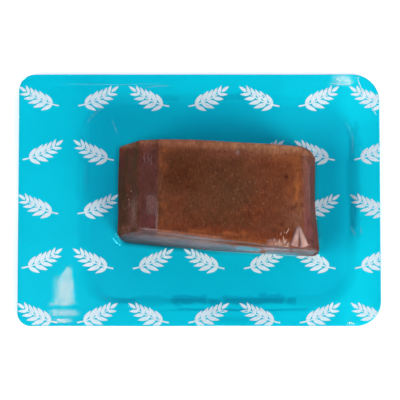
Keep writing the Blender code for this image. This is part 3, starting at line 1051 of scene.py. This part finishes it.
def ridge(bm, surface, width, height, *path):
    """Long low fold of the film that follows a path of pixels: width in pixels, height in mm."""
    found = [on_film(surface, *pixel) for pixel in resampled(path)]
    tangents = np.gradient(np.array([place for place, _ in found]), axis=0)
    loops = []
    for k, (place, normal) in enumerate(found):
        share = max(math.sin(math.pi * k / (len(found) - 1)) ** 0.6, 0.04)
        across = unit(np.cross(tangents[k], normal))
        half, rise = width * PIXEL / 2 * share, height * MM * share
        loops.append([
            bm.verts.new(place + across * half * a + normal * (rise * b + FILM_THICK))
            for a, b in RIDGE_SECTION
        ])
    add_faces(bm, *quads(loops), loops[0], loops[-1])


def bubble(bm, surface, px, py, radius, height):
    """Low dome on the film about a pixel: radius in pixels, height in mm."""
    place, normal = on_film(surface, px, py)
    side = unit(np.cross(normal, (0.3, 1.0, 0.2)))
    other = np.cross(normal, side)
    rings = []
    for share, rise in BUBBLE_SECTION:
        centre = place + normal * (rise * height * MM + FILM_THICK)
        reach = share * radius * PIXEL
        rings.append([
            bm.verts.new(centre + way @ (side, other) * reach)
            for way in heading(np.linspace(0, 2 * math.pi, BUBBLE_SIDES + 1)[:-1])
        ])
    top = bm.verts.new(place + normal * (height * MM + FILM_THICK))
    last = rings[-1]
    fan = [(a, b, top) for a, b in zip(last, last[1:] + last[:1])]
    add_faces(bm, *quads(rings), *fan, rings[0])


# Folds: width in pixels, height in mm, and path. Bubbles: pixel, radius in pixels, height in mm
FAINT_FOLDS = (
    (2, 0.3, 143.2, 91.9, 144.7, 88.4, 151.8, 86.3, 169.7, 85.8),
    (1.6, 0.3, 87, 123, 90.6, 118, 95.7, 112.9, 100.8, 108.8, 103.9, 107.2),
    (1.2, 0.25, 352.6, 134, 352.8, 144, 352, 153), (2.2, 0.25, 361.5, 148, 363, 155),
    (1.6, 0.25, 350.6, 226, 355.6, 236), (1.6, 0.25, 361, 227.5, 361.3, 234),
    (0.9, 0.2, 112, 119, 118, 135), (1.2, 0.25, 315.8, 257.8, 318.6, 260.2, 320.4, 263.9),
    (0.7, 0.04, 60, 84, 120, 84.6, 168, 83.4), (1.2, 0.15, 355, 306.6, 372, 306.2),
    (1.8, 0.25, 128.5, 306, 133.5, 307.6),
)
# Folds whose pale haze paints bright highlight lines
BRIGHT_LINES = (
    (1, 0.06, 357.4, 77.6, 359, 83.4, 361.2, 88.6, 363.6, 93.8),
    (1, 0.06, 369.2, 104, 373, 109.4, 376.6, 115.4), (0.7, 0.05, 354.6, 78.6, 357, 77, 359.6, 78.6),
    (0.7, 0.05, 330.5, 83.6, 341, 84, 351.5, 86.6),
)
CURLS = (
    (1.5, 0.1, 146, 151.6, 143.2, 156.8, 145, 161.4, 142.6, 166.4),
    (1.5, 0.1, 150.2, 151, 147.6, 156, 149.2, 160.4, 147, 165),
    (1.3, 0.1, 152.2, 155, 150.6, 160, 151.8, 163.6, 149.8, 167),
)
# Short folds whose warm haze paints sparkles
SPARKLES = (
    (1.5, 0.2, 283.4, 236, 284, 243.2), (1.6, 0.2, 279.8, 239, 278.8, 244.6),
    (1.5, 0.2, 286.4, 238.4, 284, 245), (1.5, 0.16, 276.6, 242, 275.6, 245.4),
    (1.3, 0.14, 272.6, 243.4, 271.8, 245.4), (1.4, 0.16, 288.4, 242, 287.4, 246.4),
    (0.9, 0.14, 289.4, 227.6, 287.4, 231.4, 286, 234.6), (0.8, 0.14, 281.6, 231.8, 280.4, 235.6),
    (0.8, 0.14, 285, 231, 284.4, 233.8), (0.7, 0.12, 274.8, 237.4, 274, 240.6),
    (1, 0.14, 281.4, 241.4, 280.8, 245.8), (0.9, 0.12, 274.4, 244.2, 281, 245.2),
    (0.9, 0.12, 283.6, 246, 289.4, 246.6),
)
BUBBLES = (
    (117.8, 242.2, 0.6, 0.15), (133.4, 244, 0.7, 0.18), (319.4, 118.9, 0.8, 0.2),
    (356.2, 158.3, 0.9, 0.2), (299, 253, 1.6, 0.25),
)
SMALL_BUBBLES = (
    (131.4, 191.2, 0.8, 0.15), (129.1, 199.6, 0.9, 0.15), (129.8, 204.2, 0.7, 0.15),
    (124.6, 208.2, 0.7, 0.15), (132.6, 211, 0.6, 0.12), (127.4, 195.4, 0.6, 0.12),
)


def crinkles():
    """Short fine folds over the pale part of the left facet."""
    rng = random.Random(17)
    for _ in range(26):
        u, v = rng.uniform(129.0, 138.0), rng.uniform(176, 229)
        lean, length = rng.uniform(-1.2, 1.2), rng.uniform(2.0, 5.0)
        path = (u, v, u + lean, v + length / 2, u + 0.4 * lean, v + length)
        yield rng.uniform(0.5, 0.8), 0.10, *path


def make_folds(surface):
    groups = {
        "film_folds": (0.05, HAZE, 1.0, FAINT_FOLDS, BUBBLES),
        # Their haze paints highlight lines
        "film_lines": (0.42, GLINT_TINT, 0.3, BRIGHT_LINES, ()),
        "film_curls": (0.09, CURL_TINT, 0.0, (*CURLS, *crinkles()), ()),
        # Their haze paints sparkles
        "film_creases": (0.26, SPARKLE, 0.2, SPARKLES, SMALL_BUBBLES),
    }
    for name, (haze, tint, mirror, ridges, bubbles) in groups.items():
        bm = bmesh.new()
        for fold in ridges:
            ridge(bm, surface, *fold)
        for place in bubbles:
            bubble(bm, surface, *place)
        bmesh.ops.recalc_face_normals(bm, faces=bm.faces[:])
        dress(object_from(bm, name), film_material(name, haze, tint, mirror), "clear_film")


# Printed motif: a leafy sprig

SPRIG_LENGTH = 20.5 * MM
SPRIG_BEND = 0.5
LEAF_PAIRS = 5
MOTIF_PITCH = 30.6 * MM
MOTIF_LEAN = math.radians(24)
MOTIF_SHIFT = np.array((4, -5)) * MM
# How far outside the pack a motif's middle may lie, and how far inside its edge the ink ends
MOTIF_MARGIN = 12 * MM
PRINT_MARGIN = 0.2 * MM


def stem_place(t):
    """Point and angle of the curved stem, at a share of its way."""
    across = SPRIG_LENGTH * 0.5 * SPRIG_BEND * (t - 0.5) ** 2
    return np.stack((SPRIG_LENGTH * (t - 0.5), across), axis=-1), SPRIG_BEND * (t - 0.5)


def strip(places, angles, halves):
    """Pairs of points either side of a line."""
    across = heading(np.array(angles) + math.pi / 2) * halves[:, None]
    return np.stack((places - across, places + across), axis=1)


def leaf(root, angle, length, width, steps=9):
    shares = np.linspace(0, 1, steps)
    halves = width / 2 * np.sin(math.pi * shares ** 0.75) ** 0.85
    halves[[0, -1]] = 0.02 * MM
    return strip(root + length * np.outer(shares, heading(angle)), [angle] * steps, halves)


def sprig():
    """Strips of a sprig: a curved stem with leaves that point forwards on both sides."""
    shares = np.linspace(0, 0.95, 15)
    strips = [strip(*stem_place(shares), (0.42 - 0.2 * shares) * MM)]
    for k in range(LEAF_PAIRS):
        t = 0.16 + 0.68 * k / (LEAF_PAIRS - 1)
        root, angle = stem_place(t)
        size = (7.6 - 4.6 * abs(t - 0.32)) * MM
        for side in (-1, 1):
            lean = angle + side * math.radians(43 - 12 * t)
            strips.append(leaf(root + 0.55 * MM * heading(lean), lean, size, size * 0.33))
    tip, angle = stem_place(0.97)
    strips.append(leaf(tip, angle, 5.2 * MM, 1.8 * MM))
    return strips


def motif_places():
    """Middle and mirror side of each motif on a square grid that runs off the pack."""
    for row in range(-3, 4):
        for column in range(-4, 5):
            middle = np.array((column, row)) * MOTIF_PITCH + MOTIF_SHIFT
            if np.all(np.abs(middle) < PACK_SIZE / 2 + MOTIF_MARGIN):
                yield middle, (-1 if (row + column) % 2 else 1)


def clip_to_pack(bm):
    """Cuts away what lies outside the pack's convex outline, or too near it."""
    ring = inset_ring(rectangle(PACK_SIZE), PACK_RADII, PRINT_MARGIN)
    last = np.zeros(2)
    for a, b in zip(ring, np.roll(ring, -1, axis=0)):
        edge = unit(b - a)
        if np.abs(last - edge).sum() > 1e-3:
            last = edge
            bmesh.ops.bisect_plane(
                bm, geom=bm.verts[:] + bm.edges[:] + bm.faces[:], dist=1e-6,
                plane_co=(*a, 0), plane_no=(edge[1], -edge[0], 0), clear_outer=True,
            )


def make_print():
    bm = bmesh.new()
    strips = sprig()
    for middle, mirror in motif_places():
        lean = MOTIF_LEAN * mirror
        turn = heading(np.array((lean, lean + math.pi / 2)))
        for pairs in strips:
            placed = middle + (pairs * (mirror, 1)) @ turn
            rows = [[bm.verts.new((*point, 0)) for point in pair] for pair in placed]
            add_faces(bm, *quads(rows, closed=False))
    clip_to_pack(bm)
    bmesh.ops.triangulate(bm, faces=bm.faces[:])
    heights = backing_height(np.array([v.co[:2] for v in bm.verts])) + INK_LIFT
    for vert, z in zip(bm.verts, heights):
        vert.co.z = z
    for face in bm.faces:
        face.normal_update()
        if face.normal.z < 0:
            face.normal_flip()
    ink = object_from(bm, "print_sprigs", smooth=False)
    thicken(ink, INK_THICK, -1)
    dress(ink, ink_material(), "print_white")


# Stage

# Softboxes: azimuth from the front (left is below 0), elevation and reach in degrees, and strength
SOFTBOXES = ((-68.2, 32.3, 29, 6.5), (51.7, 25.2, 15.7, 22.5), (139, 5, 55.6, 2.1))
AMBIENT = (0.06, 0.06, 0.27)
# The floor lies a hair below the pack, so that no two faces share a plane
FLOOR_DROP = 0.02 * MM
FLOOR_SIZE = 12
# Lamp cards that the flange mirrors: their height, and where each shows with its radiance
CARD_HEIGHT = 160 * MM
LAMP_CARDS = (((44, 258, 84, 330), 19.5), ((322, 56, 362, 94), 22.5), ((338, 306, 366, 334), 21))


def make_floor():
    corners = lifted(rectangle(FLOOR_SIZE), -FLOOR_DROP)
    floor = mesh_object("studio_floor", corners, [(0, 1, 2, 3)], smooth=False)
    floor.data.materials.append(floor_material())
    floor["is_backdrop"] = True


def make_camera():
    data = bpy.data.cameras.new("photo_camera")
    camera = linked("photo_camera", data)
    bpy.context.scene.camera = camera
    camera.location = VIEW_PLACE
    camera.rotation_euler = Vector(-VIEW_BACK).to_track_quat("-Z", "Y").to_euler()
    data.sensor_width = SENSOR
    data.lens = SENSOR * VIEW_DISTANCE / (FRAME_PIXELS * PIXEL)
    data.clip_start, data.clip_end = 0.1, 20.0


def mirrored(px, py):
    """Where the flange mirrors a pixel's ray to, at the height of the lamp cards."""
    ray = pixel_ray(px, py)
    down = VIEW_PLACE[2] - FLANGE_TOP
    return (VIEW_PLACE - ray * (down + CARD_HEIGHT) / ray[2])[:2]


def make_cards():
    for index, ((x0, y0, x1, y1), radiance) in enumerate(LAMP_CARDS):
        low, high = mirrored(x0, y1), mirrored(x1, y0)
        data = bpy.data.lights.new(f"card_{index}", "AREA")
        data.shape = "RECTANGLE"
        data.size, data.size_y = high - low
        data.energy = radiance * math.pi * data.size * data.size_y
        card = linked(f"card_{index}", data)
        card.location = (*(low + high) / 2, FLANGE_TOP + CARD_HEIGHT)
        card.visible_camera = card.visible_diffuse = False


def make_world():
    """Soft studio: a softbox at each side of the front, a low one behind, and a dim bluish room."""
    world = bpy.data.worlds.new("studio")
    bpy.context.scene.world = world
    nodes = Nodes(world)
    direction = nodes.add("TexCoord").outputs["Generated"]
    light = 0.0
    for azimuth, elevation, reach, strength in SOFTBOXES:
        a, e = math.radians(azimuth), math.radians(elevation)
        towards = (math.sin(a) * math.cos(e), -math.cos(a) * math.cos(e), math.sin(e))
        dot = nodes.add("VectorMath", {0: direction, 1: towards}, operation="DOT_PRODUCT")
        window = nodes.add("MapRange", {
            "Value": dot.outputs["Value"], "From Min": math.cos(math.radians(reach)),
            "From Max": math.cos(math.radians(reach / 2)), "To Max": strength,
        }, interpolation_type="SMOOTHSTEP")
        light = nodes.maths("ADD", light, window)
    white = nodes.add("CombineColor", dict.fromkeys(range(3), light))
    colour = nodes.mix(1.0, white, AMBIENT, "ADD")
    nodes.output(nodes.add("Background", {"Color": colour}), "OutputWorld")


def main():
    bpy.context.scene.view_settings.view_transform = "Standard"
    make_camera()
    make_world()
    make_cards()
    make_floor()
    make_backing()
    make_print()
    make_block()
    make_folds(make_film())
    bpy.context.view_layer.update()
    boxes = {"cad": CAD_BOX, "visual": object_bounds()}
    sizes = {name: [list(corner) for corner in box] for name, box in boxes.items()}


main()
